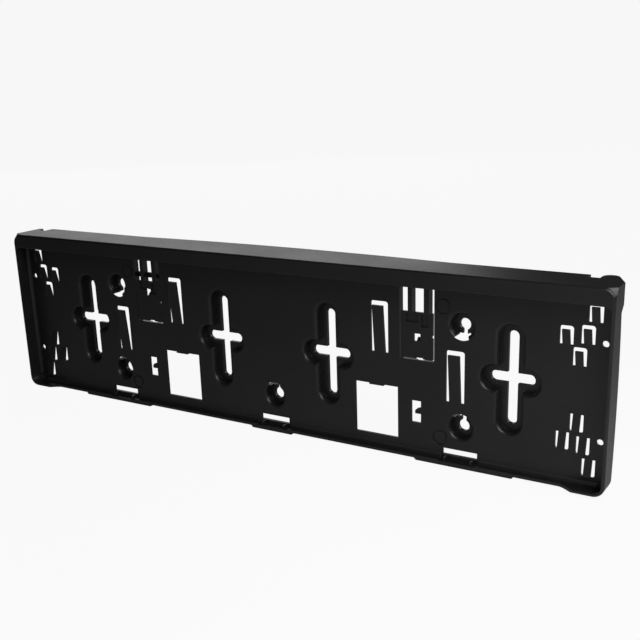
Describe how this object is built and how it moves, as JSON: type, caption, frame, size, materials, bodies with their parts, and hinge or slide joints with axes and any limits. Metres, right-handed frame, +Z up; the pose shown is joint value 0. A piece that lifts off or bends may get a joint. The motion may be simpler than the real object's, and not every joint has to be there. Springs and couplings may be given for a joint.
{
  "type": "number plate holder",
  "caption": "Long shallow tray with a hooded top edge that carries a car's number plate; cross slots, keyholes and spring tongues in its panel.",
  "frame": {"origin": "on the front face of the panel, midway between the four corner screw holes", "axes": "+X along the holder's length to the right as it is looked at, +Y back towards the bumper, +Z up"},
  "size_m": [0.53, 0.0405, 0.1413],
  "materials": {
    "black_plastic": "satin, fine moulded grain"
  },
  "bodies": {
    "root": {"plate_holder": "black_plastic"}
  },
  "joints": []
}
